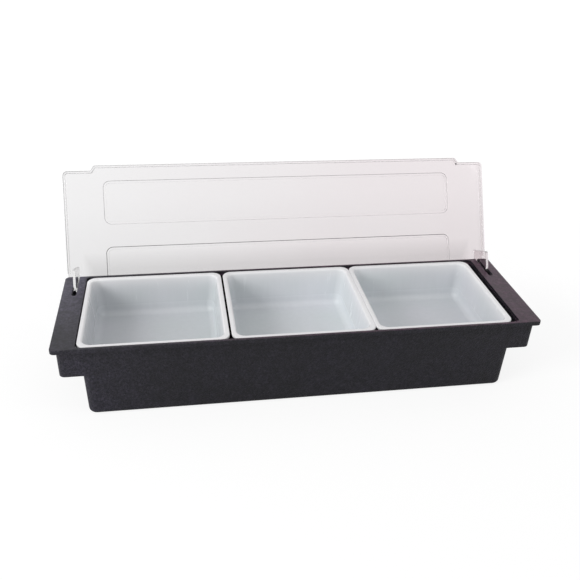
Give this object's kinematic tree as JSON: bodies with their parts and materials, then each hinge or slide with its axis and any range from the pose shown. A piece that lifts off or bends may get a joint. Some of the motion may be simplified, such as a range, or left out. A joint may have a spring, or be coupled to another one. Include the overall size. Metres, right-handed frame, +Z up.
{
  "type": "condiment dispenser",
  "caption": "Countertop condiment tray with lift-out white pans and a clear hinged lid that leans open behind them.",
  "frame": {"origin": "centre of the tray's footprint, on the surface that it stands on", "axes": "+X along the length, the front faces -Y, +Z up; the lid stands open at rest"},
  "size_m": [0.4, 0.171, 0.1546],
  "materials": {
    "black_plastic": "fine matte texture",
    "white_plastic": "gloss",
    "clear_plastic": "clear gloss"
  },
  "bodies": {
    "tray": {"tray": "black_plastic", "insert_left": "white_plastic", "insert_middle": "white_plastic", "insert_right": "white_plastic"},
    "lid": {"lid": "clear_plastic"}
  },
  "joints": [
    {"name": "lid_hinge", "type": "hinge", "parent": "tray", "child": "lid", "pos_m": [0, 0.0501, 0.062], "axis": [1, 0, 0], "range_deg": [0, 118.2]}
  ]
}
